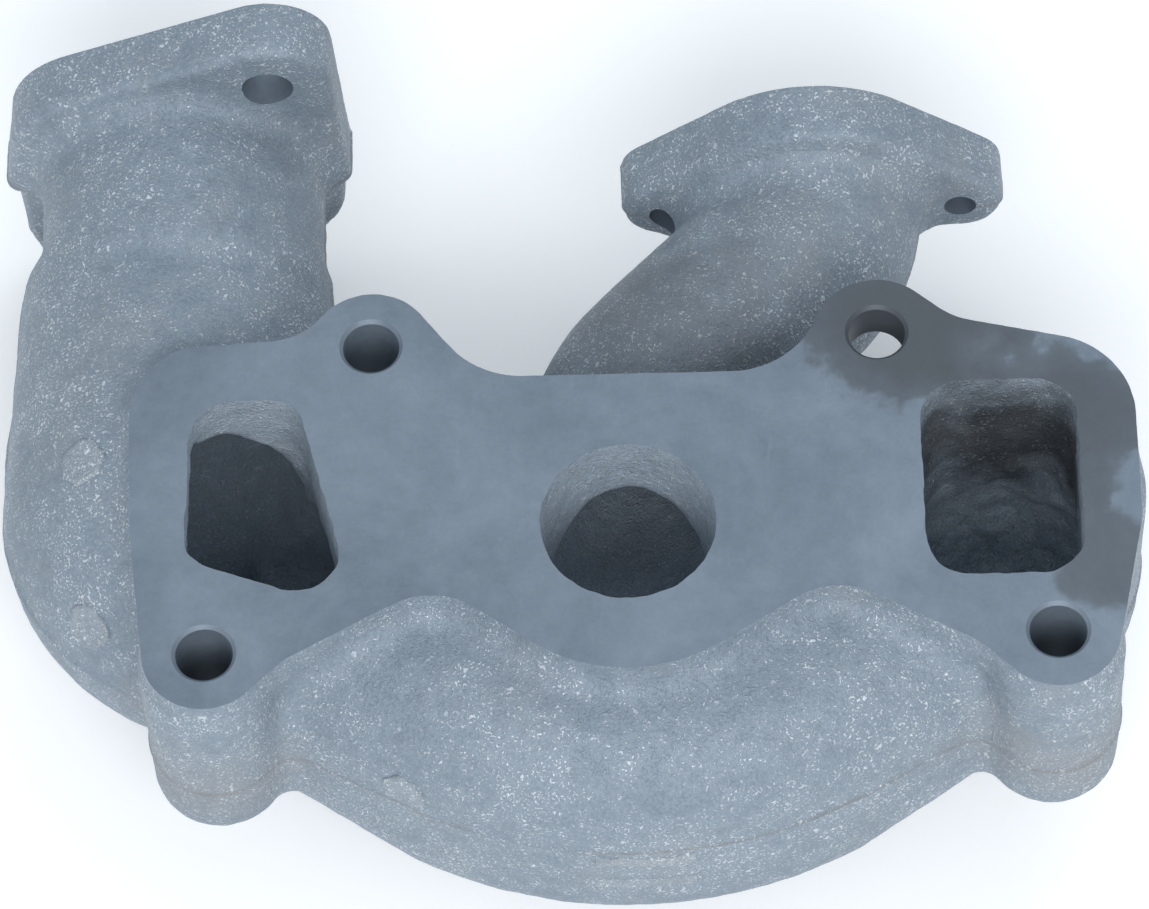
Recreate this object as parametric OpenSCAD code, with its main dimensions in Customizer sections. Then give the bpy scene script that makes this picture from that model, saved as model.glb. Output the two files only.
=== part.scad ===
// Combined intake and exhaust manifold of a small four-cylinder side-valve engine.
// One grey-iron casting, drawn as the regions that a pattern maker names. The regions meet
// face to face at flat cuts, and every gas passage inside them is open.
// Frame: origin at the middle of the centre port, on the machined block face.
// +Z points out of that face, +X along the row of ports, +Y towards the two outlets.

/* [Block flange] */
// Thickness of the plate that bolts to the block
plate_t = 9; // [6:0.5:14]
// Half the distance between the two upper stud holes
upper_stud_x = 49.7; // [45:0.1:54]
// Height of the upper stud holes over the centre port
upper_stud_y = 40.9; // [38:0.1:44]
// Half the distance between the two lower stud holes
lower_stud_x = 81.8; // [78:0.1:86]
// Height of the lower stud holes, below the centre port
lower_stud_y = -26.5; // [-29:0.1:-23]
// Diameter of the stud holes, to clear a 3/8 in stud
stud_hole_d = 11.1; // [9.8:0.1:13]
// Radius of the plate round each stud hole
stud_lobe_r = 12.1; // [10:0.1:13.5]
// Chamfer on the mouth of each stud hole
hole_chamfer = 0.7; // [0.3:0.1:1.2]
// Left edge of the plate
plate_left = -96.7; // [-99:0.1:-95]
// Right edge of the plate
plate_right = 99.4; // [97:0.1:102]
// Radius of the plate round the centre port
centre_lobe_r = 32.2; // [30:0.1:34]

/* [Stud bosses] */
// Length of the lower bosses from the block face
lower_boss_len = 50; // [30:1:60]
// Radius of the lower bosses at their free end
boss_end_r = 13.2; // [12:0.1:14]
// Length of the upper left boss from the block face
upper_boss_len = 26; // [16:1:34]
// Rounding of a boss's free end
boss_round = 3.5; // [1:0.5:6]

/* [Ports] */
// Radius of the centre intake port
intake_port_r = 17.1; // [15:0.1:18.5]
// Middle of the left exhaust port
left_port_x = -71; // [-73:0.1:-69]
// Middle of the right exhaust port
right_port_x = 72.7; // [70:0.1:74]
// Height of both exhaust ports over the centre port
exhaust_port_y = 7.8; // [6:0.1:9]

/* [Exhaust passage] */
// Wall of the exhaust side
wall = 5.5; // [4:0.5:7]
// Height of the mould's parting plane
parting_z = -34; // [-38:0.5:-31]
// Radius of the log's outer face, seen along Z
log_face_r = 93; // [88:0.5:98]
// How far the log's outer face reaches below the centre port
log_reach = 54.8; // [52:0.1:58]
// Half the width of the log
log_half_w = 21; // [19:0.5:23]
// Top of the log
log_top = -7; // [-8:0.5:-5]
// Bottom of the log
log_bottom = -73; // [-80:1:-64]
// Bottom of the two arms that rise from the log
arm_bottom = -66; // [-70:1:-62]
// Slope of the two arms that rise from the log to the end ports
arm_slope = 29; // [26:1:32]
// Radius of the barrel behind the left port
barrel_r = 34.5; // [33:0.5:35]
// Radius of the barrel where the neck starts
barrel_end_r = 31.5; // [30.5:0.1:33]
// Middle of the barrel, sideways
barrel_x = -91; // [-93:0.5:-90]
// Height of the barrel's axis
barrel_z = -37.5; // [-40:0.5:-36]
// Where the elbow ends and the straight barrel starts
barrel_y0 = 25.5; // [22:0.5:30]
// Where the barrel ends and the neck starts
barrel_y1 = 77; // [70:1:82]

/* [Exhaust outlet] */
// Middle of the outlet, sideways
outlet_x = -89.8; // [-92:0.1:-88]
// Joint face of the outlet flange
outlet_face_y = 113.6; // [105:0.1:130]
// Height of the outlet's axis
outlet_z = -32; // [-36:0.5:-30]
// Thickness of the outlet flange
outlet_t = 12; // [8:0.5:16]
// Diameter of the outlet bore
outlet_bore_d = 44.5; // [38:0.5:48]
// Outside radius of the outlet neck
neck_r = 28.7; // [26:0.1:29.5]
// Bolt circle of the outlet flange
outlet_pcd = 76.2; // [70:0.1:84]
// Turn of the bolt pair from the X axis
outlet_bolt_angle = 59.5; // [52:0.5:66]
// Diameter of the outlet bolt holes
outlet_hole_d = 10.4; // [8.5:0.1:12]

/* [Intake] */
// Outside radius of the intake runner
runner_r = 22; // [20:0.5:23]
// Diameter of the carburettor bore
carb_bore_d = 30.2; // [26:0.1:34]
// Distance between the carburettor stud holes
carb_stud_pitch = 60.3; // [58:0.1:63]
// Diameter of the holes tapped for the carburettor studs
carb_hole_d = 6.6; // [5:0.1:8]
// Middle of the carburettor flange, sideways
carb_x = 38.9; // [36:0.1:42]
// Joint face of the carburettor flange
carb_face_y = 102.9; // [100:0.1:110]
// Thickness of the carburettor flange
carb_t = 12; // [8:0.5:14]

/* [Foundry marks] */
// Radius of the cast-in chaplets that held the core
chaplet_r = 5.5; // [4:0.5:6]
// How far the chaplets and ingate stubs stand out
mark_proud = 0.6; // [0.2:0.1:1]

/* [Hidden] */
$fn = 72;
far = 400;

iron = [0.45, 0.48, 0.52];
machined = [0.36, 0.40, 0.45];
stub = [0.60, 0.60, 0.60];

// Exhaust log: centre lines of its shell and of its narrower passage, which keeps clear of
// the intake port.
log_centre_y = log_face_r - log_reach;
log_shell_r = log_face_r - log_half_w;
common_wall = 5;
passage_half_w = (log_reach - wall - intake_port_r - common_wall) / 2;
passage_r = log_face_r - wall - passage_half_w;
barrel_bend = 14;
arm_end_x = barrel_x + barrel_bend;

// Bodies under the two exhaust ports: round, with a round bottom.
left_body_r = 27;
right_reach = 100.8;
right_body_r = right_reach - right_port_x;
left_body_z = -44;
right_body_z = -40;
arm_len = 39;

// Intake runner: up from the port, then an S to the carburettor flange.
carb_y0 = carb_face_y - carb_t;
carb_ear_r = 8.8;
carb_mid_r = 28;
carb_low_r = 24;
carb_fillet_r = 3;
bend_angle = 45;
upper_bend_r = 24;
upper_bend_y0 = carb_y0 - upper_bend_r * sin(bend_angle);
lower_bend_r = 34;
runner_dx = carb_x - (upper_bend_r + lower_bend_r) * (1 - cos(bend_angle));
runner_len = runner_dx / sin(bend_angle);
lower_bend_y0 = upper_bend_y0 - runner_len * cos(bend_angle) - lower_bend_r * sin(bend_angle);
runner_bore_r = carb_bore_d / 2;

outlet_y0 = outlet_face_y - outlet_t;
outlet_bolt = [for (a = [0, 180]) outlet_pcd / 2 * [cos(outlet_bolt_angle + a), sin(outlet_bolt_angle + a)]];

// ---- Outlines ------------------------------------------------------------------------

// Angle of the tangent point between two circles of an outline run anticlockwise.
// A circle is [x, y, r]; a negative r turns the outline inwards there.
function tangent(a, b) =
    let (d = [b[0] - a[0], b[1] - a[1]])
    atan2(d[1], d[0]) - acos((a[2] - b[2]) / norm(d));

// Points of the arc on circle c from one tangent point to the next.
function turn(c, a0, a1) =
    let (way = c[2] > 0 ? 1 : -1,
         sweep = way * (((way * (a1 - a0)) % 360 + 360) % 360),
         n = max(2, ceil(abs(sweep) / 7)))
    [for (i = [0 : n]) let (a = a0 + sweep * i / n) [c[0] + c[2] * cos(a), c[1] + c[2] * sin(a)]];

// Outline of tangent arcs and straight lines round a ring of circles.
function belt(c) =
    let (n = len(c))
    [for (i = [0 : n - 1])
        each turn(c[i], tangent(c[(i + n - 1) % n], c[i]), tangent(c[i], c[(i + 1) % n]))];

module plate_outline() {
    polygon(belt([
        [lower_stud_x, lower_stud_y, stud_lobe_r],
        [plate_right - 20, 0, 20],
        [plate_right - 18, 21.5, 18],
        [upper_stud_x + 20.7, upper_stud_y + 14, -12],
        [upper_stud_x, upper_stud_y, stud_lobe_r],
        [21, 50.9, -18],
        [-20, 50.9, -17.6],
        [-upper_stud_x, upper_stud_y, stud_lobe_r],
        [-upper_stud_x - 19.7, upper_stud_y + 14, -12],
        [plate_left + 14.5, 27.4, 14.5],
        [plate_left + 20, 3, 20],
        [-lower_stud_x, lower_stud_y, stud_lobe_r],
        [-61.3, -35.6, -8.8],
        [-38.6, -29.5, -14.3],
        [0, 0, centre_lobe_r],
        [40, -30.2, -14.6],
        [61.6, -35.6, -8.6]
    ]));
}

// Left port: a rounded trapezium, wider at its lower right.
module left_port_outline() {
    translate([left_port_x, exhaust_port_y])
    polygon(belt([[6.9, -13, 8.2], [1.6, 15, 6.6], [-5.4, 12.6, 9], [-8.4, -9.1, 6.6]]));
}

// Right port: a rounded rectangle.
module right_port_outline() {
    translate([right_port_x, exhaust_port_y])
    polygon(belt([[7, -13.2, 8.4], [6.9, 13.2, 8.4], [-6.9, 13.2, 8.4], [-6.9, -13.2, 8.4]]));
}

module outlet_outline() {
    b = outlet_bolt[0];
    polygon(belt([[b[0], b[1], 12.8], [-14, 9.8, 20.7], [-17.5, -2, 19], [-b[0] - 2.7, -b[1] + 14.8, 14],
                  [-b[0], -b[1], 12.8], [16.7, -9, 17.6]]));
}

// Two round ears and a round middle; below the ears the middle is smaller, and a small
// hollow fillet, just clear of both circles, joins it to each ear.
module carb_outline() {
    p = carb_stud_pitch / 2;
    from_middle = 1.001 * (carb_low_r + carb_fillet_r);
    from_ear = 1.1 * (carb_ear_r + carb_fillet_r);
    x = (p * p + from_middle * from_middle - from_ear * from_ear) / (2 * p);
    y = -sqrt(from_middle * from_middle - x * x);
    polygon(belt([[p, 0, carb_ear_r], [0, 0, carb_mid_r], [-p, 0, carb_ear_r],
                  [-x, y, -carb_fillet_r], [0, 0, carb_low_r], [x, y, -carb_fillet_r]]));
}

// Upright stadium: half width w, from height z0 to z1.
module stadium(w, z0, z1) {
    translate([0, z1 - w]) circle(w);
    translate([0, z0 + w]) circle(w);
    translate([-w, z0 + w]) square([2 * w, z1 - z0 - 2 * w]);
}

// ---- Placing -------------------------------------------------------------------------

// Stands a plane shape up in XZ and gives it a length along +Y.
module along_y(x, z, y0, y1) {
    translate([x, y1, z]) rotate([90, 0, 0]) linear_extrude(y1 - y0) children();
}

module tube_y(x, z, y0, y1, r) {
    translate([x, y0, z]) rotate([-90, 0, 0]) cylinder(h = y1 - y0, r = r);
}

// Keeps what lies to the right of an upright plane at x.
module right_of(x) {
    intersection() {
        children();
        translate([x, -far / 2, -far / 2]) cube(far);
    }
}

// Everything under the plate.
module under_plate() {
    intersection() {
        children();
        translate([-far / 2, -far / 2, -plate_t - far]) cube(far);
    }
}

// ---- Exhaust shapes ------------------------------------------------------------------

// Part of the log on its arc, between two angles counted from straight below.
module log_arc(r, w, z0, z1, a0, a1) {
    translate([0, log_centre_y, 0]) rotate([0, 0, a0 - 90])
    rotate_extrude(angle = a1 - a0) translate([r, 0]) stadium(w, z0, z1);
}

// Straight arm tangent to the log's arc; side is 1 for the right arm and -1 for the left.
module arm(side, r, w, z0, z1, len) {
    translate([0, log_centre_y, 0])
    rotate([0, 0, side * arm_slope - 90])
    translate([r, 0, 0]) rotate([90, 0, 0])
    translate([0, 0, side > 0 ? -len : 0]) linear_extrude(len) stadium(w, z0, z1);
}

// Right arm with the round end that closes the log under the right port.
module right_arm(r, w, z0, z1) {
    arm(1, r, w, z0, z1, arm_len);
    a = arm_slope - 90;
    translate([0, log_centre_y, 0]) rotate([0, 0, a]) translate([r, arm_len, 0])
    rotate_extrude() intersection() {
        stadium(w, z0, z1);
        translate([0, -far / 2]) square(far);
    }
}

// Elbow behind the left port: a quarter turn with a flat heart and a round rim.
module elbow(r) {
    translate([barrel_x + barrel_bend, barrel_y0, barrel_z]) rotate([0, 0, 180])
    rotate_extrude(angle = 90) {
        intersection() {
            translate([barrel_bend, 0]) circle(r);
            translate([0, -far / 2]) square(far);
        }
        translate([0, -r]) square([barrel_bend, 2 * r]);
    }
}

// Body that hangs under an exhaust port.
module port_body(x, z, r) {
    translate([x, exhaust_port_y, z]) rotate_extrude() {
        intersection() {
            circle(r);
            translate([0, -r]) square([r, r]);
        }
        square([r, -plate_t - z]);
    }
}

module barrel_shell() {
    translate([barrel_x, barrel_y0, barrel_z]) rotate([-90, 0, 0])
    cylinder(h = barrel_y1 - barrel_y0, r1 = barrel_r, r2 = barrel_end_r);
}

// Gas passages of the exhaust side.
module left_duct() {
    translate([0, 0, left_body_z]) linear_extrude(far) left_port_outline();
    translate([left_port_x, exhaust_port_y, left_body_z]) sphere(left_body_r - wall);
}

module right_duct() {
    translate([0, 0, right_body_z]) linear_extrude(far) right_port_outline();
    translate([right_port_x, exhaust_port_y, right_body_z]) sphere(right_body_r - wall);
}

module left_arm_passage() {
    arm(-1, passage_r, passage_half_w, arm_bottom + wall, log_top - wall, 62);
}

module right_arm_passage() {
    right_arm(passage_r, passage_half_w, arm_bottom + wall, log_top - wall);
}

module elbow_passage() { elbow(barrel_r - wall); }

module barrel_passage() {
    tube_y(barrel_x, barrel_z, barrel_y0 - 0.5, barrel_y1, barrel_end_r - wall);
}

// ---- Intake shapes -------------------------------------------------------------------

// Bend in the XY plane: starts at [x, y] heading +Y and turns right, or is met that way.
module plan_bend(x, y, turn_r, r, side) {
    translate([x + side * turn_r, y, parting_z])
    rotate([0, 0, side > 0 ? 180 - bend_angle : -bend_angle])
    rotate_extrude(angle = bend_angle) translate([turn_r, 0]) circle(r);
}

module runner_tube(r) {
    translate([carb_x - upper_bend_r * (1 - cos(bend_angle)), upper_bend_y0, parting_z])
    rotate([90, 0, -bend_angle]) cylinder(h = runner_len, r = r);
}

module port_elbow_shell() {
    translate([0, 0, parting_z]) {
        sphere(runner_r);
        cylinder(h = -plate_t - parting_z, r = runner_r);
    }
    tube_y(0, parting_z, 0, lower_bend_y0, runner_r);
}

module port_elbow_passage() {
    translate([0, 0, parting_z]) {
        sphere(intake_port_r - 1);
        cylinder(h = far, r = intake_port_r);
    }
    tube_y(0, parting_z, 0, lower_bend_y0 + 1, runner_bore_r);
}

// ---- Stud holes and bosses -----------------------------------------------------------

module stud_hole(x, y) {
    translate([x, y, -far / 2]) cylinder(h = far, d = stud_hole_d);
    translate([x, y, -hole_chamfer])
    cylinder(h = 2 * hole_chamfer, d1 = stud_hole_d, d2 = stud_hole_d + 4 * hole_chamfer);
}

// Boss on the back of the plate, with a rounded free end.
module boss(x, y, len, r) {
    translate([x, y, 0]) rotate_extrude() {
        translate([0, -len]) square([r - boss_round, len - plate_t]);
        translate([0, -len + boss_round]) square([r, len - plate_t - boss_round]);
        translate([r - boss_round, -len + boss_round]) circle(boss_round);
    }
}

// ---- Foundry marks -------------------------------------------------------------------

// Pin of a chaplet from the inside of a wall to just proud of its outside.
// at is the middle of the round section, and turn and rise aim it outwards.
module chaplet(at, turn, rise, outer) {
    translate(at) rotate([0, 90 - rise, turn])
    translate([0, 0, outer - wall]) cylinder(h = wall + mark_proud, r = chaplet_r);
}

// Chaplet in the elbow, at an angle round its bend.
module elbow_chaplet(a, rise) {
    chaplet([barrel_x + barrel_bend * (1 + cos(a)), barrel_y0 + barrel_bend * sin(a), barrel_z],
            a, rise, barrel_r);
}

// Chaplet where the left arm leaves the log.
module log_chaplet() {
    a = 270 - arm_slope;
    chaplet([log_shell_r * cos(a), log_centre_y + log_shell_r * sin(a), log_top - log_half_w],
            a, 0, log_half_w);
}

module chaplets() {
    color(stub) {
        elbow_chaplet(189, 62);
        elbow_chaplet(229, 27);
        log_chaplet();
    }
}

// ---- Nodes ---------------------------------------------------------------------------

module mounting_flange() {
    color(machined) difference() {
        translate([0, 0, -plate_t]) linear_extrude(plate_t) plate_outline();
        translate([0, 0, -far / 2]) cylinder(h = far, r = intake_port_r);
        translate([0, 0, -far / 2]) linear_extrude(far) left_port_outline();
        translate([0, 0, -far / 2]) linear_extrude(far) right_port_outline();
        for (s = [-1, 1]) {
            stud_hole(s * upper_stud_x, upper_stud_y);
            stud_hole(s * lower_stud_x, lower_stud_y);
        }
    }
}

module lower_left_boss() {
    color(iron) difference() {
        boss(-lower_stud_x, lower_stud_y, lower_boss_len, boss_end_r);
        stud_hole(-lower_stud_x, lower_stud_y);
        elbow(barrel_r);
        log_left_solid();
        left_body();
    }
}

module lower_right_boss() {
    color(iron) difference() {
        boss(lower_stud_x, lower_stud_y, lower_boss_len, boss_end_r);
        stud_hole(lower_stud_x, lower_stud_y);
        right_body();
        right_arm(log_shell_r, log_half_w, arm_bottom, log_top);
    }
}

module upper_left_boss() {
    color(iron) difference() {
        boss(-upper_stud_x, upper_stud_y, upper_boss_len, stud_lobe_r);
        stud_hole(-upper_stud_x, upper_stud_y);
        barrel_shell();
        left_body();
    }
}

module log_left_solid() {
    right_of(arm_end_x) arm(-1, log_shell_r, log_half_w, arm_bottom, log_top, 60);
}

module left_body() { port_body(left_port_x, left_body_z, left_body_r); }

module right_body() { port_body(right_port_x, right_body_z, right_body_r); }

module left_port_branch() {
    color(iron) difference() {
        left_body();
        left_duct();
        left_arm_passage();
        barrel_passage();
        elbow_passage();
    }
}

module right_port_branch() {
    color(iron) difference() {
        right_body();
        right_duct();
        right_arm_passage();
    }
}

module log_left_arm() {
    color(iron) difference() {
        under_plate() log_left_solid();
        left_body();
        left_arm_passage();
        stud_hole(-lower_stud_x, lower_stud_y);
        log_chaplet();
    }
}

module log_centre() {
    color(iron) difference() {
        under_plate() log_arc(log_shell_r, log_half_w, log_bottom, log_top, -arm_slope, arm_slope);
        log_arc(passage_r, passage_half_w, log_bottom + wall, log_top - wall, -arm_slope - 1, arm_slope + 1);
        port_elbow_passage();
        log_chaplet();
    }
}

module log_right_arm() {
    color(iron) difference() {
        under_plate() right_arm(log_shell_r, log_half_w, arm_bottom, log_top);
        right_body();
        right_arm_passage();
        stud_hole(lower_stud_x, lower_stud_y);
    }
}

module exhaust_elbow() {
    color(iron) difference() {
        under_plate_left() elbow(barrel_r);
        left_body();
        elbow_passage();
        stud_hole(-lower_stud_x, lower_stud_y);
        elbow_chaplet(189, 62);
        elbow_chaplet(229, 27);
    }
}

// Under the plate where the plate reaches, and free beyond its left edge.
module under_plate_left() {
    difference() {
        children();
        translate([0, 0, -plate_t]) linear_extrude(far) plate_outline();
    }
}

module exhaust_barrel() {
    color(iron) difference() {
        under_plate_left() barrel_shell();
        left_body();
        barrel_passage();
        elbow_chaplet(189, 62);
    }
}

module outlet_neck() {
    color(iron) difference() {
        tube_y(outlet_x, outlet_z, barrel_y1, outlet_y0, neck_r);
        tube_y(outlet_x, outlet_z, barrel_y1 - 1, outlet_y0 + 1, outlet_bore_d / 2);
    }
}

module outlet_flange() {
    color(iron) difference() {
        along_y(outlet_x, outlet_z, outlet_y0, outlet_face_y) outlet_outline();
        tube_y(outlet_x, outlet_z, outlet_y0 - 1, outlet_face_y + 1, outlet_bore_d / 2);
        for (b = outlet_bolt)
            tube_y(outlet_x + b[0], outlet_z + b[1], outlet_y0 - 1, outlet_face_y + 1, outlet_hole_d / 2);
    }
}

module intake_port_elbow() {
    color(iron) difference() {
        port_elbow_shell();
        log_arc(log_shell_r, log_half_w, log_bottom, log_top, -arm_slope, arm_slope);
        port_elbow_passage();
    }
}

module intake_lower_bend() {
    color(iron) difference() {
        plan_bend(0, lower_bend_y0, lower_bend_r, runner_r, 1);
        plan_bend(0, lower_bend_y0, lower_bend_r, runner_bore_r, 1);
    }
}

module intake_runner() {
    color(iron) difference() {
        runner_tube(runner_r);
        runner_tube(runner_bore_r);
    }
}

module intake_upper_bend() {
    color(iron) difference() {
        plan_bend(carb_x, carb_y0, upper_bend_r, runner_r, -1);
        plan_bend(carb_x, carb_y0, upper_bend_r, runner_bore_r, -1);
    }
}

module carburettor_flange() {
    color(iron) difference() {
        along_y(carb_x, parting_z, carb_y0, carb_face_y) carb_outline();
        tube_y(carb_x, parting_z, carb_y0 - 1, carb_face_y + 1, carb_bore_d / 2);
        for (s = [-1, 1])
            tube_y(carb_x + s * carb_stud_pitch / 2, parting_z, carb_y0 - 1, carb_face_y + 1, carb_hole_d / 2);
    }
}

// Ground-off stubs where the iron entered the mould, on the log's outer face.
module ingate_stubs() {
    color(stub) for (z = [parting_z - 6, parting_z - 15])
        translate([0, log_centre_y, z]) rotate([0, 0, -95])
        rotate_extrude(angle = 12) translate([log_face_r, 0]) square([mark_proud, 4]);
}

mounting_flange();
lower_left_boss();
lower_right_boss();
upper_left_boss();
left_port_branch();
right_port_branch();
log_left_arm();
log_centre();
log_right_arm();
exhaust_elbow();
exhaust_barrel();
outlet_neck();
outlet_flange();
intake_port_elbow();
intake_lower_bend();
intake_runner();
intake_upper_bend();
carburettor_flange();
chaplets();
ingate_stubs();
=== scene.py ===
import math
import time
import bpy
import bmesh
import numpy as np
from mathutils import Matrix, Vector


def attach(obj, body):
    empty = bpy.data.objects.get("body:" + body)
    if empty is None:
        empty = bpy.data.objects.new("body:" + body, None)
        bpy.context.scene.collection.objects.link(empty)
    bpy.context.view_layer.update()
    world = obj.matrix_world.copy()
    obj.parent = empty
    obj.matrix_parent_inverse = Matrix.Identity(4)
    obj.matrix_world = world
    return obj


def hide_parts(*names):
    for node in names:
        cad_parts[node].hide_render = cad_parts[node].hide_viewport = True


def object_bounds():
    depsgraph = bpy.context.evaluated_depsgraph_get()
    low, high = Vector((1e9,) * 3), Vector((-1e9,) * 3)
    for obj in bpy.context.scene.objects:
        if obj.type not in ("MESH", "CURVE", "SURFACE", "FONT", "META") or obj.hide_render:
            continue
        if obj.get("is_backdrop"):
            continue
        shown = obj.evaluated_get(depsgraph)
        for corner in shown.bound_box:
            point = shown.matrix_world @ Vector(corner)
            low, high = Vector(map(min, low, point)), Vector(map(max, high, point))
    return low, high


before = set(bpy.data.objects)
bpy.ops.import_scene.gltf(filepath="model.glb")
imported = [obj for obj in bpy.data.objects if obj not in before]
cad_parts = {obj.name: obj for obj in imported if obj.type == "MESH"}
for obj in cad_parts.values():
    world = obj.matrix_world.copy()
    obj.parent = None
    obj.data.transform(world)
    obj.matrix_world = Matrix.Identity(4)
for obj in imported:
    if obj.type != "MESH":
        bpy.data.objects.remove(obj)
cad_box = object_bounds()

# %% [markdown]
# # A cast-iron manifold
# The real object is one iron casting. Iron was poured into a sand mould, broken out, blasted
# with steel shot and then milled on three faces and drilled. This notebook makes it in the
# same order: rough solids are fused with casting fillets, the sand cores are taken out of the
# inside, and only then are the faces milled and the holes drilled, so their edges stay crisp.

# %% Tools and units
import openvdb
from mathutils import Matrix, Vector, noise

MM = 0.001
VOXEL = 0.8
started = time.time()
print("frame:", len(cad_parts), "nodes, box", [[round(v, 4) for v in c] for c in cad_box])

# %% [markdown]
# ## Camera, light and floor
# A product on a pale ground in very soft light. The camera stands about 1.26 m away with a
# long lens, almost straight in front and 60 degrees up. Most of the light comes from a large
# panel over the front and a pale sky, and two weak panels fill the left side and the back, so
# nothing throws a hard shadow.

# %% Camera
def aim(azimuth, elevation, roll, target, distance):
    az, el, ro = (math.radians(v) for v in (azimuth, elevation, roll))
    back = Vector((math.sin(az) * math.cos(el), -math.cos(az) * math.cos(el), math.sin(el)))
    right = Vector((math.cos(az), math.sin(az), 0))
    up = back.cross(right)
    across = math.cos(ro) * right + math.sin(ro) * up
    upward = math.cos(ro) * up - math.sin(ro) * right
    turn = Matrix((across, upward, back)).transposed().to_4x4()
    return Matrix.Translation(Vector(target) + back * distance) @ turn

camera = bpy.data.objects.new("camera", bpy.data.cameras.new("camera"))
camera.data.sensor_width = 36
camera.data.lens = 203.66
camera.data.clip_end = 20
camera.matrix_world = aim(2.0, 60.0, -3.367, (-0.010082, 0.015082, 0), 1.26425)
bpy.context.scene.collection.objects.link(camera)
bpy.context.scene.camera = camera
print("camera", [round(v, 3) for v in camera.location])

# %% Light
def panel(name, place, target, size, watts, colour):
    lamp = bpy.data.lights.new(name, "AREA")
    lamp.shape, lamp.size, lamp.size_y = "RECTANGLE", size[0], size[1]
    lamp.energy, lamp.color = watts, colour
    stand = bpy.data.objects.new(name, lamp)
    look = (Vector(target) - Vector(place)).to_track_quat("-Z", "Y")
    stand.matrix_world = Matrix.Translation(place) @ look.to_matrix().to_4x4()
    bpy.context.scene.collection.objects.link(stand)

panel("front_panel", (0.1, -1.5, 1.3), (0, 0, -0.03), (1.5, 1.1), 31, (0.98, 0.99, 1.0))
panel("left_panel", (-1.5, 0.2, 1.0), (0, 0, -0.03), (1.2, 1.2), 2.8, (0.86, 0.93, 1.0))
panel("top_panel", (0.4, 0.9, 1.6), (0, 0, -0.03), (1.2, 1.2), 8, (0.84, 0.92, 1.0))
sky = bpy.data.worlds.new("sky")
sky.use_nodes = True
sky.node_tree.nodes["Background"].inputs["Color"].default_value = (0.87, 0.94, 1.0, 1)
sky.node_tree.nodes["Background"].inputs["Strength"].default_value = 0.55
bpy.context.scene.world = sky
bpy.context.scene.view_settings.view_transform = "Standard"
print("light: front, left and top panels and a pale sky")

# %% Floor
def bmesh_object(name, bm):
    mesh = bpy.data.meshes.new(name)
    bm.to_mesh(mesh)
    bm.free()
    made = bpy.data.objects.new(name, mesh)
    bpy.context.scene.collection.objects.link(made)
    return made

bm = bmesh.new()
bmesh.ops.create_grid(bm, x_segments=1, y_segments=1, size=3)
bmesh.ops.translate(bm, verts=bm.verts, vec=(0, 0, cad_box[0][2] - 0.0004))
floor = bmesh_object("floor", bm)
floor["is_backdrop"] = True
print("floor at z", round(cad_box[0][2] - 0.0004, 4))

# %% [markdown]
# ## Rough solids
# A pattern maker glues simple turned and sawn blocks together. The blocks here are prisms,
# turned shapes and swept sections, each a few bmesh operators. Sizes are in millimetres, as
# on the drawing, until the casting is done.

# %% Outlines of tangent arcs
def tangent(a, b):
    return math.atan2(b[1] - a[1], b[0] - a[0]) - math.acos((a[2] - b[2]) / math.dist(a[:2], b[:2]))

def belt(ring):
    """Outline round a ring of circles (x, y, r); a negative r turns the outline inwards."""
    points = []
    for i, c in enumerate(ring):
        start, end = tangent(ring[i - 1], c), tangent(c, ring[(i + 1) % len(ring)])
        way = 1 if c[2] > 0 else -1
        sweep = way * ((way * (end - start)) % math.tau)
        count = max(3, math.ceil(abs(sweep) / math.radians(4)))
        points += [(c[0] + c[2] * math.cos(start + sweep * k / count),
                    c[1] + c[2] * math.sin(start + sweep * k / count)) for k in range(count + 1)]
    return points

def arc(cx, cy, r, first, last, count=16):
    return [(cx + r * math.cos(math.radians(first + (last - first) * k / count)),
             cy + r * math.sin(math.radians(first + (last - first) * k / count))) for k in range(count + 1)]

def stadium(half_width, low, high):
    return arc(0, high - half_width, half_width, 0, 180) + arc(0, low + half_width, half_width, 180, 360)

# %% Prisms, turned shapes and swept sections
STAND = Matrix(((1, 0, 0, 0), (0, 0, 1, 0), (0, 1, 0, 0), (0, 0, 0, 1)))   # (u, v, w) to (u, w, v)

def closed(bm, place=None):
    bmesh.ops.remove_doubles(bm, verts=bm.verts, dist=1e-4)
    if place is not None:
        bmesh.ops.transform(bm, matrix=place, verts=bm.verts)
    bmesh.ops.recalc_face_normals(bm, faces=bm.faces)
    return bm

def prism(outline, low, high, place=None):
    bm = bmesh.new()
    base = bm.faces.new([bm.verts.new((x, y, low)) for x, y in outline])
    grown = bmesh.ops.extrude_face_region(bm, geom=[base])["geom"]
    lid = [g for g in grown if isinstance(g, bmesh.types.BMVert)]
    bmesh.ops.translate(bm, verts=lid, vec=(0, 0, high - low))
    return closed(bm, place)

def turned(profile, place=None, steps=72):
    """A profile of (radius, height) from axis to axis, spun round Z."""
    bm = bmesh.new()
    dots = [bm.verts.new((r, 0, h)) for r, h in profile]
    lines = [bm.edges.new(pair) for pair in zip(dots, dots[1:])]
    bmesh.ops.spin(bm, geom=dots + lines, cent=(0, 0, 0), axis=(0, 0, 1), angle=math.tau,
                   steps=steps, use_merge=True)
    return closed(bm, place)

def swept(section, centre, angle, steps=24, place=None):
    """A closed section of points, spun part of a turn round an upright axis, with both ends closed."""
    bm = bmesh.new()
    dots = [bm.verts.new(p) for p in section]
    lines = [bm.edges.new((dots[i - 1], dots[i])) for i in range(len(dots))]
    bmesh.ops.spin(bm, geom=dots + lines, cent=(*centre, 0), axis=(0, 0, 1), angle=math.radians(angle),
                   steps=steps)
    bmesh.ops.holes_fill(bm, edges=[e for e in bm.edges if e.is_boundary], sides=0)
    return closed(bm, place)

def rod(r, length):
    return [(0, 0), (r, 0), (r, length), (0, length)]

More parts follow.
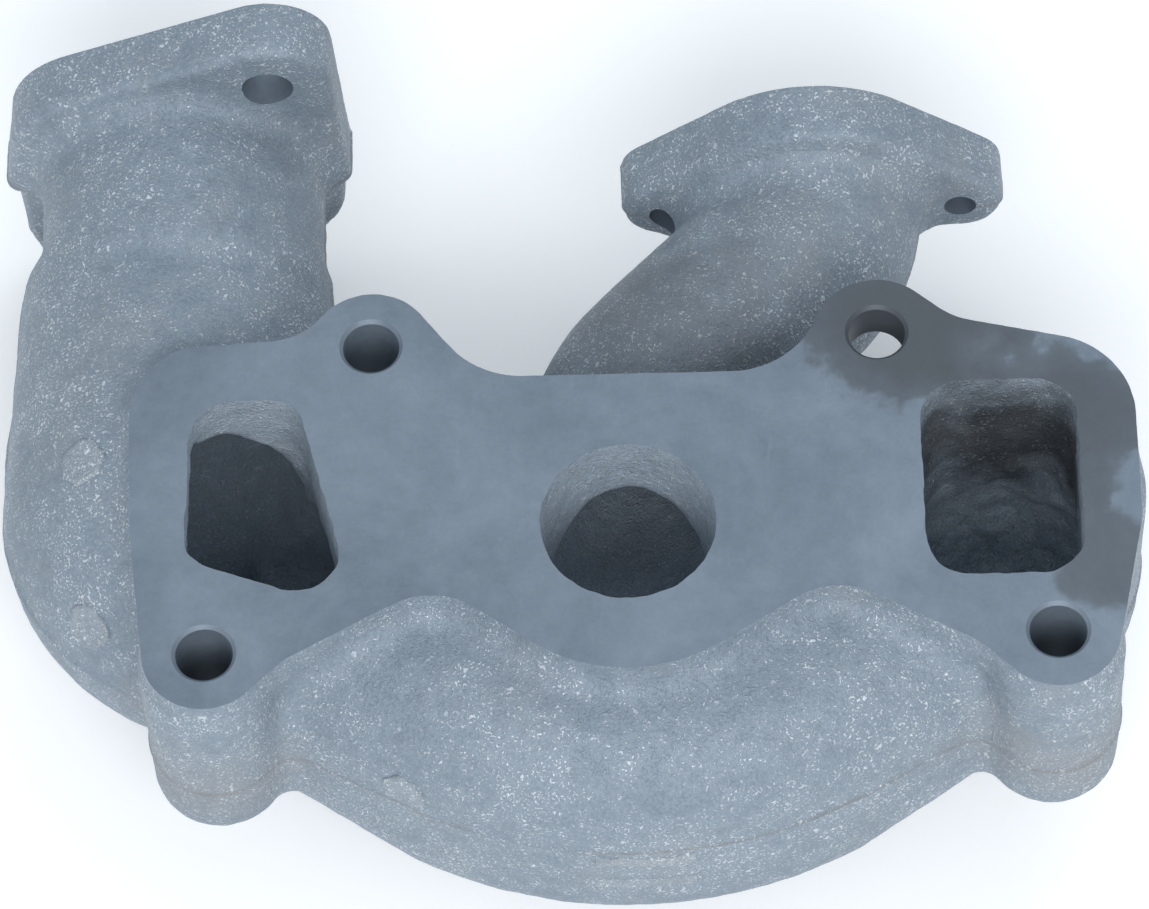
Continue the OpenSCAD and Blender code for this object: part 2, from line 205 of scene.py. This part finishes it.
def along_y(x, y, z):
    return Matrix.Translation((x, y, z)) @ STAND

# %% Sizes from the drawing
WALL = 5.5
PLATE = 9
STUDS = [(-49.7, 40.9), (49.7, 40.9), (-81.8, -26.5), (81.8, -26.5)]
LEFT_PORT, RIGHT_PORT = (-71, 7.8), (72.7, 7.8)
LOG_Y, LOG_R, LOG_W, LOG_TOP, LOG_LOW, ARM_LOW, SLOPE = 38.2, 72, 21, -7, -73, -66, 29
LOG_IN = LOG_R - LOG_W
BARREL, BARREL_FOOT, BARREL_END = (-91, -37.5), 25.5, 77
ELBOW_BEND = 14
OUTLET, OUTLET_BACK = (-89.8, 113.6, -32), 101.6
PARTING = -34
CARB, CARB_BACK, CARB_STUD = (38.9, 102.9, PARTING), 90.9, 30.15
RUNNER_LOW, RUNNER_HIGH, RUNNER_TURN, PORT_RUN = (9.96, 52.02), (31.87, 73.93), 45, 27.98
BOLT = (38.1 * math.cos(math.radians(59.5)), 38.1 * math.sin(math.radians(59.5)))
RAMP = 30         # length over which the log's depth runs out under each arm
CORE_R, CORE_W = 73.9, 13.6

plate_ring = [(81.8, -26.5, 12.1), (79.4, 0, 20), (81.4, 21.5, 18), (70.4, 54.9, -12),
              (49.7, 40.9, 12.1), (21, 50.9, -18), (-20, 50.9, -17.6), (-49.7, 40.9, 12.1),
              (-69.4, 54.9, -12), (-82.2, 27.4, 14.5), (-76.7, 3, 20), (-81.8, -26.5, 12.1),
              (-61.3, -35.6, -8.8), (-38.6, -29.5, -14.3), (0, 0, 32.2), (40, -30.2, -14.6),
              (61.6, -35.6, -8.6)]
plate_line = belt(plate_ring)
outlet_line = belt([(*BOLT, 12.8), (-14, 9.8, 20.7), (-17.5, -2, 19), (-22, -18, 14),
                    (-BOLT[0], -BOLT[1], 12.8), (16.7, -9, 17.6)])
carb_line = belt([(CARB_STUD, 0, 8.8), (0, 0, 28), (-CARB_STUD, 0, 8.8), (-24.3, -11.8, -3),
                  (0, 0, 24), (24.3, -11.8, -3)])
print("outlines:", len(plate_line), len(outlet_line), len(carb_line), "points")

# %% Swept log and arms, used for the outside and for its core
def log_shapes(r, w, low, arm_low, top, left_len, right_len):
    section = [(-(r + u) * math.sin(math.radians(SLOPE)), LOG_Y - (r + u) * math.cos(math.radians(SLOPE)), v)
               for u, v in stadium(w, low, top)]
    made = [swept(section, (0, LOG_Y), 2 * SLOPE, steps=40)]
    for side, length in ((-1, left_len), (1, right_len)):
        turn = Matrix.Translation((0, LOG_Y, 0)) @ Matrix.Rotation(math.radians(side * SLOPE - 90), 4, "Z")
        reach = sorted((0, side * length))
        made.append(prism([(r + u, v) for u, v in stadium(w, arm_low, top)], *reach, turn @ STAND))
        ramp = prism([(r + u, v) for u, v in stadium(w, low, top)], *reach)
        for v in ramp.verts:
            if abs(v.co.z) > 1 and v.co.y < (low + top) / 2:
                v.co.y += arm_low - low
        for v in ramp.verts:
            v.co.z *= RAMP / length
        made.append(closed(ramp, turn @ STAND))
    turn = Matrix.Rotation(math.radians(SLOPE - 90), 4, "Z")
    end = Matrix.Translation((0, LOG_Y, 0)) @ turn @ Matrix.Translation((r, right_len, 0))
    half = arc(0, arm_low + w, w, -90, 0) + arc(0, top - w, w, 0, 90)
    made.append(turned(half, end))
    return made

def elbow(r):
    near_axis = 0.4
    rim = [(ELBOW_BEND + x, 0, z) for x, z in arc(0, 0, r, -90, 90, 24)]
    section = [(near_axis, 0, -r)] + rim + [(near_axis, 0, r)]
    hinge = Matrix.Translation((BARREL[0] + ELBOW_BEND, BARREL_FOOT, BARREL[1]))
    place = hinge @ Matrix.Rotation(math.pi, 4, "Z")
    return swept(section, (0, 0), 90, steps=24, place=place)

def intake(r, over):
    ring = [(r * math.cos(a), r * math.sin(a)) for a in (math.tau * k / 40 for k in range(40))]
    back_down = Matrix.Rotation(math.radians(RUNNER_TURN + 90), 4, "Z")
    straight = Matrix.Translation((*RUNNER_HIGH, PARTING)) @ back_down @ STAND
    lower = [(x, PORT_RUN, PARTING + z) for x, z in ring]
    upper = [(CARB[0] + x, CARB_BACK, PARTING + z) for x, z in ring]
    return [prism(ring, 0, 29, along_y(0, 0, PARTING)),
            swept(lower, (34, PORT_RUN), -RUNNER_TURN, steps=12),
            prism(ring, 0, 31.2, straight),
            swept(upper, (14.9, CARB_BACK), -RUNNER_TURN, steps=12),
            prism(ring, CARB_BACK - 0.5, CARB_BACK + over, along_y(CARB[0], 0, PARTING))]

# %% Blocks of the pattern
def boss(x, y, length, r, rounding=3.5):
    profile = [(0, -length)] + arc(r - rounding, -length + rounding, rounding, -90, 0, 8) + [(r, -5), (0, -5)]
    return turned(profile, Matrix.Translation((x, y, 0)))

def port_body(port, z, r):
    return turned(arc(0, z, r, -90, 0, 20) + [(r, -5), (0, -5)], Matrix.Translation((*port, 0)))

STOCK = 2.5       # iron left on a face for milling
blocks = [prism(plate_line, -PLATE, STOCK),
          boss(*STUDS[0], 26, 12.1), boss(*STUDS[2], 50, 13.2), boss(*STUDS[3], 50, 13.2),
          port_body(LEFT_PORT, -44, 27), port_body(RIGHT_PORT, -40, 28.1),
          *log_shapes(LOG_R, LOG_W, LOG_LOW, ARM_LOW, LOG_TOP, 49, 39),
          elbow(34.5),
          turned([(0, 0), (34.5, 0), (31.5, 51.5), (0, 51.5)], along_y(BARREL[0], BARREL_FOOT, BARREL[1])),
          turned(rod(28.7, 32), along_y(OUTLET[0], 71, OUTLET[2])),
          prism(outlet_line, OUTLET_BACK, OUTLET[1] + STOCK, along_y(OUTLET[0], 0, OUTLET[2])),
          turned(arc(0, PARTING, 22, -90, 0, 16) + [(22, -5), (0, -5)]),
          *intake(22, 2),
          prism(carb_line, CARB_BACK, CARB[1] + STOCK, along_y(CARB[0], 0, CARB[2]))]
print("pattern:", len(blocks), "blocks")

# %% [markdown]
# ## Fusing with fillets
# No inside corner of a casting is sharp, because sharp sand would wash away. A level set
# does this well: it is a grid that stores the distance to the surface. Grown outwards by a
# fillet's radius and shrunk back, it leaves that fillet in every inside corner. Shrunk and
# grown back, it rounds the outside edges. A boolean and a bevel would need every seam chosen
# by hand, so the level set is used here.

# %% Level sets
def soup(meshes):
    points, faces, at = [], [], 0
    for bm in meshes:
        bmesh.ops.triangulate(bm, faces=bm.faces)
        bm.verts.index_update()
        points += [v.co[:] for v in bm.verts]
        faces += [[v.index + at for v in f.verts] for f in bm.faces]
        at += len(bm.verts)
        bm.free()
    return np.array(points, np.float32), np.array(faces, np.uint32)

def offset(points, faces, amount):
    """The surface moved outwards by amount, in millimetres; inwards if it is negative."""
    kind = "triangles" if faces.shape[1] == 3 else "quads"
    grid = openvdb.FloatGrid.createLevelSetFromPolygons(
        points, **{kind: faces}, transform=openvdb.createLinearTransform(voxelSize=VOXEL),
        halfWidth=abs(amount) / VOXEL + 3)
    moved, quads = grid.convertToQuads(isovalue=amount)
    return moved, np.ascontiguousarray(quads[:, ::-1])

def fuse(meshes, fillet, rounding):
    points, faces = offset(*soup(meshes), fillet)
    points, faces = offset(points, faces, -fillet - rounding)
    return offset(points, faces, rounding)

def mesh_object(name, points, faces):
    mesh = bpy.data.meshes.new(name)
    mesh.from_pydata(points, [], faces.tolist())
    made = bpy.data.objects.new(name, mesh)
    bpy.context.scene.collection.objects.link(made)
    return made

rough = fuse(blocks, 5.0, 1.6)
print("rough casting:", len(rough[1]), "quads", round(time.time() - started, 1), "s")

# %% Cores that leave the passages
def port_core(outline, port, z, r):
    moved = [(port[0] + x, port[1] + y) for x, y in outline]
    return [prism(moved, z, 6), turned(arc(0, z, r, -90, 90, 32), Matrix.Translation((*port, 0)))]

left_line = belt([(6.9, -13, 8.2), (1.6, 15, 6.6), (-5.4, 12.6, 9), (-8.4, -9.1, 6.6)])
right_line = belt([(7, -13.2, 8.4), (6.9, 13.2, 8.4), (-6.9, 13.2, 8.4), (-6.9, -13.2, 8.4)])
cores = [*port_core(left_line, LEFT_PORT, -44, 21.5), *port_core(right_line, RIGHT_PORT, -40, 22.6),
         *log_shapes(CORE_R, CORE_W, LOG_LOW + WALL, ARM_LOW + WALL, LOG_TOP - WALL, 60, 39),
         elbow(29),
         turned(rod(26, 52), along_y(BARREL[0], 25, BARREL[1])),
         turned(rod(22.25, 50), along_y(OUTLET[0], 70, OUTLET[2])),
         turned([(0, PARTING), (17.1, PARTING), (17.1, 6), (0, 6)]),
         turned(arc(0, PARTING, 16.1, -90, 90, 24)),
         *intake(15.1, 18)]
core = fuse(cores, 1.6, 0.8)
print("cores:", len(core[1]), "quads", round(time.time() - started, 1), "s")

# %% [markdown]
# ## Skin
# Sand leaves a skin that is a little uneven, and the two halves of the mould never meet
# quite true. The points of the rough casting are pushed in and out by slow and fast noise.
# A thin flash runs round it at the parting plane, and the lower half of the outlet flange
# is set back a little from the upper half.

# %% Push points along their normals
def normals_of(points, quads):
    a, b, c, d = (points[quads[:, k]] for k in range(4))
    face = np.cross(c - a, d - b)
    total = np.zeros_like(points)
    for k in range(4):
        np.add.at(total, quads[:, k], face)
    return total / np.maximum(np.linalg.norm(total, axis=1, keepdims=True), 1e-9)

def relax(points, quads, times):
    for _ in range(times):
        total, count = np.zeros_like(points), np.zeros(len(points))
        for k in range(4):
            for other in ((k + 1) % 4, (k + 3) % 4):
                np.add.at(total, quads[:, k], points[quads[:, other]])
                np.add.at(count, quads[:, k], 1)
        points = 0.5 * points + 0.5 * total / count[:, None]
    return points

def lumps(points, size, seed):
    """Smooth noise from -1 to 1, about size millimetres across."""
    shift = Vector((seed * 17.3, seed * 5.1, seed * 9.7))
    return np.array([noise.noise(Vector(p) / size + shift) for p in points.tolist()])

points, quads = rough
points = relax(points, quads, 2)
normal = normals_of(points, quads)
push = 0.16 * lumps(points, 9.0, 1) + 0.10 * lumps(points, 2.6, 2)
level = 1 - np.clip(np.abs(points[:, 2] - PARTING) / 0.9, 0, 1)
upright = np.clip(1.2 - 1.6 * np.abs(normal[:, 2]), 0, 1)
push += 0.5 * level * upright * np.clip(0.6 + 0.9 * lumps(points, 14.0, 3), 0.15, 1)
aside = points[:, 0] - OUTLET[0]
step = np.clip((points[:, 1] - 97.5) / 4, 0, 1) * np.clip((PARTING - points[:, 2]) / 1.2, 0, 1) * (aside < 60)
points[:, 0] -= 1.7 * step * np.clip(aside / 16, -1, 1)
machined = (points[:, 2] > 0.2) | (points[:, 1] > 113.8) | ((points[:, 1] > 103.1) & (points[:, 0] > 0))
push[machined] = 0
casting = mesh_object("casting", points + normal * push[:, None], quads)

points, quads = core
points = relax(points, quads, 1)
normal = normals_of(points, quads)
push = 0.30 * lumps(points, 4.0, 4) + 0.16 * lumps(points, 1.7, 5)
deep = np.clip((-24 - points[:, 2]) / 14, 0, 1)
right_side = np.clip((points[:, 0] - 48) / 10, 0, 1)
push -= deep * right_side * (0.8 + 1.1 * lumps(points, 6.5, 6) + 0.6 * lumps(points, 2.8, 7))
sand = mesh_object("sand_core", points + normal * push[:, None], quads)
print("skin done", round(time.time() - started, 1), "s")

# %% [markdown]
# ## Finishes
# Shot-blasted iron is a dull blue grey full of tiny bright facets, so its colour and its
# roughness both follow a very fine grain, with slow cloudy patches over it, and the glints of
# the facets are painted into the colour as pale flecks. The milled faces are darker and
# flatter, with a stain where oil has crept out of the upper right hole. The passages are rough
# sand casting, painted much lighter than the outer skin as painted light, and painted shade
# darkens the wall of the right port. Every pattern reads Object coordinates, in metres, so it
# runs on across the seams between pieces.

# %% Shader maths as expressions
class Wire:
    """An output of a material node that can be used in a sum."""
    def __init__(self, finish, socket):
        self.finish, self.socket = finish, socket

    def maths(self, operation, *values, **settings):
        settings = {"operation": operation, **settings}
        return self.finish.node("ShaderNodeMath", settings, dict(enumerate(values)))

    def __add__(self, other): return self.maths("ADD", self, other)
    def __radd__(self, other): return self.maths("ADD", other, self)
    def __sub__(self, other): return self.maths("SUBTRACT", self, other)
    def __rsub__(self, other): return self.maths("SUBTRACT", other, self)
    def __mul__(self, other): return self.maths("MULTIPLY", self, other)
    def __rmul__(self, other): return self.maths("MULTIPLY", other, self)
    def __truediv__(self, other): return self.maths("DIVIDE", self, other)
    def clamp(self): return self.maths("ADD", self, 0.0, use_clamp=True)

class Finish:
    def __init__(self, name, metallic):
        self.material = bpy.data.materials.new(name)
        self.material.use_nodes = True
        self.tree = self.material.node_tree
        self.shader = self.tree.nodes["Principled BSDF"]
        self.shader.inputs["Metallic"].default_value = metallic
        self.place = self.node("ShaderNodeTexCoord", out="Object")

    def node(self, kind, settings=None, sockets=None, out=0):
        made = self.tree.nodes.new(kind)
        for key, value in (settings or {}).items():
            setattr(made, key, value)
        for key, value in (sockets or {}).items():
            if isinstance(value, Wire):
                self.tree.links.new(value.socket, made.inputs[key])
            else:
                made.inputs[key].default_value = value
        return Wire(self, made.outputs[out])

    def noise(self, size_mm, detail=3, roughness=0.55, distortion=0.0, place=None):
        return self.node("ShaderNodeTexNoise", {"noise_dimensions": "3D"}, {
            "Vector": place or self.place, "Scale": 1000 / size_mm, "Detail": detail,
            "Roughness": roughness, "Distortion": distortion})

    def step(self, value, low, high):
        """0 below low, 1 above high, and smooth between them."""
        return self.node("ShaderNodeMapRange", {"interpolation_type": "SMOOTHSTEP"}, {
            "Value": value, "From Min": low, "From Max": high})

    def mix(self, factor, a, b):
        return self.node("ShaderNodeMix", {"data_type": "RGBA"}, {0: factor, 6: a, 7: b}, out=2)

    def near(self, spot_mm, reach_mm):
        """1 at a spot, falling to 0 at its reach, with a ragged edge."""
        away = self.node("ShaderNodeVectorMath", {"operation": "DISTANCE"},
                         {0: self.place, 1: [v * MM for v in spot_mm]}, out="Value")
        ragged = away + (self.noise(14, 4) - 0.5) * (0.9 * reach_mm * MM)
        return 1 - self.step(ragged, 0.35 * reach_mm * MM, reach_mm * MM)

    def height(self):
        return self.node("ShaderNodeSeparateXYZ", None, {0: self.place}, out="Z")

    def finish(self, colour, roughness, bump, strength, distance_mm):
        normal = self.node("ShaderNodeBump", None, {
            "Strength": strength, "Distance": distance_mm * MM, "Height": bump})
        for key, value in (("Base Color", colour), ("Roughness", roughness), ("Normal", normal)):
            self.tree.links.new(value.socket, self.shader.inputs[key])
        return self.material

# %% Cast skin
def cast_finish(name, dark, light, painted_glint_colour, metallic=0.25, inside=False):
    f = Finish(name, metallic)
    cloud = f.noise(24, 4, 0.6)
    patch = f.noise(4.5, 3, 0.6)
    grain = f.noise(0.8, 2, 0.7)
    facet_and_painted_glint = f.step(f.noise(0.48, 1, 0.5), 0.57, 0.69)
    glint = f.step(f.noise(1.1, 1, 0.5), 0.64, 0.72)
    tone = (cloud * 0.45 + patch * 0.40 + grain * 1.0 - 0.47).clamp()
    colour = f.mix(tone, dark, light)
    shine = 0.08 + 0.60 * f.step(cloud * 0.45 + patch * 0.55, 0.38, 0.60)
    if inside:
        # painted shade: the wall of the right port is painted almost black, and fewer painted glints show
        # there
        painted_port_shade = f.near((74, 20, -20), 31)
        colour = f.mix(painted_port_shade * 0.92, colour, (0.024, 0.027, 0.032, 1))
        shine = shine * (1 - 0.72 * painted_port_shade)
    # painted glints: pale flecks mixed into the colour where the shot-blasted facets would catch the light
    colour = f.mix(facet_and_painted_glint * shine, colour, painted_glint_colour)
    colour = f.mix(glint * shine * 0.80, colour, painted_glint_colour)
    warm = f.step(f.noise(33, 4, 0.65), 0.50, 0.72)
    colour = f.mix(warm * 0.22, colour, (0.330, 0.318, 0.310, 1))
    if not inside:
        away = f.node("ShaderNodeMath", {"operation": "ABSOLUTE"}, {0: f.height() - PARTING * MM})
        line = (1 - f.step(away + (patch - 0.5) * 0.0012, 0.0002, 0.0011)) * f.step(cloud, 0.40, 0.60)
        colour = f.mix(line * 0.42, colour, (0.185, 0.170, 0.160, 1))
        colour = f.mix(f.near((8, 48, -16), 34) * 0.47, colour, (0.066, 0.067, 0.068, 1))
        for stud in STUDS[2:]:
            colour = f.mix(f.near((*stud, -34), 26) * 0.30, colour, (0.262, 0.240, 0.222, 1))
        colour = f.mix(f.near((30, 70, -12), 20) * 0.22, colour, (0.090, 0.088, 0.086, 1))
    rough = 0.60 - 0.24 * facet_and_painted_glint
    bump = grain * 0.7 + patch * 0.8 + facet_and_painted_glint * 0.45 + glint * 0.4
    return f.finish(colour, rough, bump, 0.85, 0.70 if inside else 0.38)

skin_finish = cast_finish("cast_skin", (0.150, 0.192, 0.238, 1), (0.300, 0.355, 0.412, 1),
                          (0.84, 0.88, 0.92, 1))
# painted light: the passages' colours are painted much lighter than the outer skin's, to stand in for light
# that barely reaches inside; their rougher bump is the sand-cast wall
core_painted_light_finish = cast_finish("core_skin_painted_light", (0.265, 0.318, 0.374, 1), (0.505, 0.588, 0.676, 1),
                          (0.80, 0.84, 0.88, 1), inside=True)

# %% Milled face
f = Finish("milled_face", 0.35)
cloud = f.noise(34, 5, 0.64, 0.5)
mottle = f.noise(5, 4, 0.65)
fine = f.noise(0.9, 2, 0.6)
swirl = f.node("ShaderNodeVectorMath", {"operation": "MULTIPLY"}, {0: f.place, 1: (1.0, 0.22, 1.0)})
scratch = f.step(f.noise(2.2, 4, 0.7, 0.6, place=swirl), 0.58, 0.84)
tone = (cloud * 1.5 + mottle * 0.7 + fine * 0.3 - 0.78).clamp()
colour = f.mix(tone, (0.118, 0.152, 0.192, 1), (0.232, 0.280, 0.334, 1))
colour = f.mix(scratch * 0.16, colour, (0.30, 0.34, 0.38, 1))
stain = f.near((56, 44, 0), 26) + f.near((84, 20, 0), 24) * 0.8 + f.near((92, -12, 0), 16) * 0.55
colour = f.mix(f.step(stain, 0.16, 0.40) * (0.42 + 0.38 * stain).clamp(), colour, (0.055, 0.060, 0.066, 1))
rough = 0.55 - 0.12 * scratch + 0.15 * (mottle - 0.5)
milled_finish = f.finish(colour, rough, fine * 0.5 + scratch * 0.4, 0.35, 0.06)

# %% Ground marks
mark_finish = cast_finish("ground_mark", (0.180, 0.215, 0.252, 1), (0.355, 0.400, 0.445, 1),
                          (0.86, 0.90, 0.94, 1))
print("finishes: cast skin, core skin, milled face, ground mark")

# %% [markdown]
# ## Milling and drilling
# The block face, the outlet face and the carburettor face are milled flat, and the holes are
# drilled. Each tool is a solid that a Boolean modifier takes away, so its edges are exact.
# Each tool also carries a finish, and the Boolean leaves it on the faces that it cuts.

# %% Boolean helper
def boolean(target, tool, operation="DIFFERENCE", material="INDEX"):
    step = target.modifiers.new("cut", "BOOLEAN")
    step.object, step.operation, step.solver, step.material_mode = tool, operation, "MANIFOLD", material
    graph = bpy.context.evaluated_depsgraph_get()
    cut = bpy.data.meshes.new_from_object(target.evaluated_get(graph))
    target.modifiers.clear()
    old, target.data = target.data, cut
    bpy.data.meshes.remove(old)

def discard(*things):
    for thing in things:
        mesh = thing.data
        bpy.data.objects.remove(thing)
        bpy.data.meshes.remove(mesh)

def slab(low, high):
    bm = bmesh.new()
    size = [b - a for a, b in zip(low, high)]
    middle = [(a + b) / 2 for a, b in zip(low, high)]
    bmesh.ops.create_cube(bm, size=1, matrix=Matrix.Translation(middle) @ Matrix.Diagonal((*size, 1)))
    return bm

def joined(name, meshes, finish=None):
    made = mesh_object(name, *soup(meshes))
    if finish:
        made.data.materials.append(finish)
    return made

# %% Take out the cores, then mill and drill
def drill(r, depth, chamfer):
    """A drill that enters at height 0 from above, with a countersink."""
    return [(0, -depth), (r, -depth), (r, -chamfer), (r + 2 * chamfer, chamfer), (r + 2 * chamfer, 2), (0, 2)]

holes = [turned(drill(5.55, 70, 0.7), Matrix.Translation((x, y, 0)), steps=96) for x, y in STUDS]
for sign in (1, -1):
    bolt = along_y(OUTLET[0] + sign * BOLT[0], OUTLET[1], OUTLET[2] + sign * BOLT[1])
    holes.append(turned(drill(5.2, 21, 0.2), bolt))
    holes.append(turned(drill(3.3, 20, 0.4), along_y(CARB[0] + sign * CARB_STUD, CARB[1], CARB[2]), steps=64))
drills = joined("drills", holes, milled_finish)
cutters = joined("cutters", [slab((-140, -80, 0), (140, 75, 12)),
                             slab((-140, OUTLET[1], -90), (-30, 130, 30)),
                             slab((0, CARB[1], -90), (90, 112, 30))], milled_finish)
casting.data.materials.append(skin_finish)
sand.data.materials.append(core_painted_light_finish)
for tool in (sand, cutters, drills):
    boolean(casting, tool, material="TRANSFER")
    discard(tool)
print("machined:", len(casting.data.polygons), "faces", [m.name for m in casting.data.materials],
      round(time.time() - started, 1), "s")

# %% [markdown]
# ## One piece for each region
# The casting is one lump of iron, but the drawing names its regions, and a library part is
# easier to reuse when each region is a piece. Each region's solid is taken out of what is
# left of the casting, so two neighbours meet on exactly the same cut and no seam shows. A cut
# near the back of a flange lies 1.2 mm behind it, in the fillet, because a cut that lies in
# an uneven surface comes out ragged.

# %% Region solids, in the order they are cut
def half_space(x, y, turn, reach=200):
    """Everything ahead of a point, in the direction turn degrees from +X, up to reach to each side."""
    place = Matrix.Translation((x, y, 0)) @ Matrix.Rotation(math.radians(turn), 4, "Z")
    bm = slab((0, -reach, -90), (200, reach, 30))
    bmesh.ops.transform(bm, matrix=place, verts=bm.verts)
    return bm

def pillar(x, y, r, top=-PLATE):
    return turned([(0, -90), (r, -90), (r, top), (0, top)], Matrix.Translation((x, y, 0)), steps=96)

grown_line = belt([(x, y, r + 0.8) for x, y, r in plate_ring])     # clear of the uneven rim
BEHIND = 1.2      # from a flange's back to the cut behind it
regions = {
    "mounting_flange": lambda: prism(grown_line, -PLATE - BEHIND, 4),
    "outlet_flange": lambda: slab((-140, OUTLET_BACK - BEHIND, -90), (-40, 130, 30)),
    "outlet_neck": lambda: slab((-140, BARREL_END + BEHIND, -90), (-40, 130, 30)),
    "carburettor_flange": lambda: slab((0, CARB_BACK - BEHIND, -90), (100, 112, 30)),
    "intake_upper_bend": lambda: half_space(*RUNNER_HIGH, RUNNER_TURN, 36),
    "intake_runner": lambda: half_space(*RUNNER_LOW, RUNNER_TURN, 36),
    "intake_lower_bend": lambda: slab((-26, PORT_RUN, -90), (44, 120, 30)),
    "upper_left_boss": lambda: pillar(*STUDS[0], 14),
    "lower_left_boss": lambda: pillar(*STUDS[2], 13.9),
    "lower_right_boss": lambda: pillar(*STUDS[3], 13.9),
    "left_port_branch": lambda: pillar(*LEFT_PORT, 27.4),
    "right_port_branch": lambda: pillar(*RIGHT_PORT, 28.5),
    "exhaust_barrel": lambda: slab((-140, BARREL_FOOT, -90), (-45, 101, 30)),
    "exhaust_elbow": lambda: slab((-140, -80, -90), (BARREL[0] + ELBOW_BEND, BARREL_FOOT, 30)),
    "intake_port_elbow": lambda: turned([(0, -90), (LOG_IN, -90), (LOG_IN, 30), (0, 30)],
                                        Matrix.Translation((0, LOG_Y, 0)), steps=180),
    "log_left_arm": lambda: half_space(0, LOG_Y, 180 - SLOPE),
    "log_right_arm": lambda: half_space(0, LOG_Y, SLOPE),
}

# %% Cut the casting into its pieces
def copy_of(thing, name):
    made = bpy.data.objects.new(name, thing.data.copy())
    made.data.name = name
    bpy.context.scene.collection.objects.link(made)
    return made

made = {}
for node_name, solid in regions.items():
    tool = joined("region", [solid()])
    made[node_name] = copy_of(casting, node_name + "_cast")
    boolean(made[node_name], tool, "INTERSECT")
    boolean(casting, tool)
    discard(tool)
casting.name = "log_centre_cast"
made["log_centre"] = casting
print("pieces cut:", len(made), round(time.time() - started, 1), "s")

# %% [markdown]
# ## Marks on the skin
# Three chaplets held the core while the iron was poured. Their ends show as low round discs,
# a little brighter than the skin. Two ingate stubs on the log were knocked off and ground.

# %% Chaplet discs
def chaplet(middle, turn, rise, outer):
    """A low ragged disc that stands on the wall, with its pin inside the wall."""
    aim_out = Matrix.Rotation(math.radians(turn), 4, "Z") @ Matrix.Rotation(math.radians(90 - rise), 4, "Y")
    profile = [(0, -2), (4.6, -2), (4.9, -0.6), (4.6, 0.10), (4.2, 0.30), (3.7, 0.32),
               (3.1, 0.12), (2.0, 0.08), (1.0, 0.12), (0, 0.14)]
    bm = turned([(r, outer + h) for r, h in profile], steps=56)
    for v in bm.verts:
        round_it = Vector((v.co.x, v.co.y, turn / 9)) * 0.45
        swell = 1 + 0.16 * noise.noise(round_it)
        v.co.x *= swell
        v.co.y *= swell
        v.co.z += 0.16 * noise.noise(v.co * 0.7) * (v.co.z > outer - 0.2)
    return closed(bm, Matrix.Translation(middle) @ aim_out)

def bend_point(angle):
    a = math.radians(angle)
    return (BARREL[0] + ELBOW_BEND * (1 + math.cos(a)), BARREL_FOOT + ELBOW_BEND * math.sin(a), BARREL[1])

seat = math.radians(270 - SLOPE)
on_log = (LOG_R * math.cos(seat), LOG_Y + LOG_R * math.sin(seat), LOG_TOP - LOG_W)
discs = [chaplet(bend_point(189), 189, 62, 34.5), chaplet(bend_point(229), 229, 27, 34.5),
         chaplet(on_log, 270 - SLOPE, 0, LOG_W)]
made["chaplets"] = joined("chaplet_discs", discs, mark_finish)

# %% Ingate stubs
def stub(height):
    outline = [(92.2, 0), (93.2, 0.5), (93.35, 1.4), (93.35, 2.8), (93.1, 3.6), (92.2, 4)]
    section = [(0, LOG_Y - out, height + up) for out, up in outline]
    turn = Matrix.Rotation(math.radians(-5), 4, "Z")
    place = Matrix.Translation((0, LOG_Y, 0)) @ turn @ Matrix.Translation((0, -LOG_Y, 0))
    bm = swept(section, (0, LOG_Y), 12, steps=28, place=place)
    long_edges = [e for e in bm.edges if e.calc_length() > 1.5]
    bmesh.ops.subdivide_edges(bm, edges=long_edges, cuts=2, use_grid_fill=True)
    for v in bm.verts:
        v.co.y += 0.20 * noise.noise(v.co * 0.8)
        v.co.z += 0.9 * noise.noise(v.co * 0.35)
    return bm

made["ingate_stubs"] = joined("ingate_patches", [stub(PARTING - 6), stub(PARTING - 15)], mark_finish)
print("marks:", len(discs), "chaplets, 2 stubs")

# %% [markdown]
# ## Shading and hand-over
# A piece is smooth everywhere except along its machined edges, so an edge is marked sharp
# where its two faces meet at more than 40 degrees. Then each piece shrinks from millimetres
# to metres and takes the place of its region on the drawing.

# %% Finish every piece
def settle(piece, sharp_above=40):
    bm = bmesh.new()
    bm.from_mesh(piece.data)
    bmesh.ops.remove_doubles(bm, verts=bm.verts, dist=1e-4)
    bmesh.ops.dissolve_degenerate(bm, edges=bm.edges, dist=1e-4)
    bmesh.ops.transform(bm, matrix=Matrix.Diagonal((MM, MM, MM, 1)), verts=bm.verts)
    for face in bm.faces:
        face.smooth = True
    for edge in bm.edges:
        edge.smooth = len(edge.link_faces) != 2 or edge.calc_face_angle(0) < math.radians(sharp_above)
    bm.to_mesh(piece.data)
    open_edges = sum(not e.is_manifold for e in bm.edges)
    bm.free()
    return open_edges

for node_name, piece in made.items():
    torn = settle(piece)
    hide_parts(node_name)
    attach(piece, "root")
    print(piece.name, len(piece.data.polygons), "faces,", torn, "open edges")

# %% Floor finish
ground = bpy.data.materials.new("pale_ground")
ground.use_nodes = True
ground.node_tree.nodes["Principled BSDF"].inputs["Base Color"].default_value = (0.97, 0.97, 0.97, 1)
ground.node_tree.nodes["Principled BSDF"].inputs["Roughness"].default_value = 0.9
ground.node_tree.nodes["Principled BSDF"].inputs["Emission Color"].default_value = (1, 1, 1, 1)
ground.node_tree.nodes["Principled BSDF"].inputs["Emission Strength"].default_value = 0.12
floor.data.materials.append(ground)

# %% Sizes
visual_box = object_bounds()
print("visual box", [[round(v, 4) for v in c] for c in visual_box], round(time.time() - started, 1), "s")
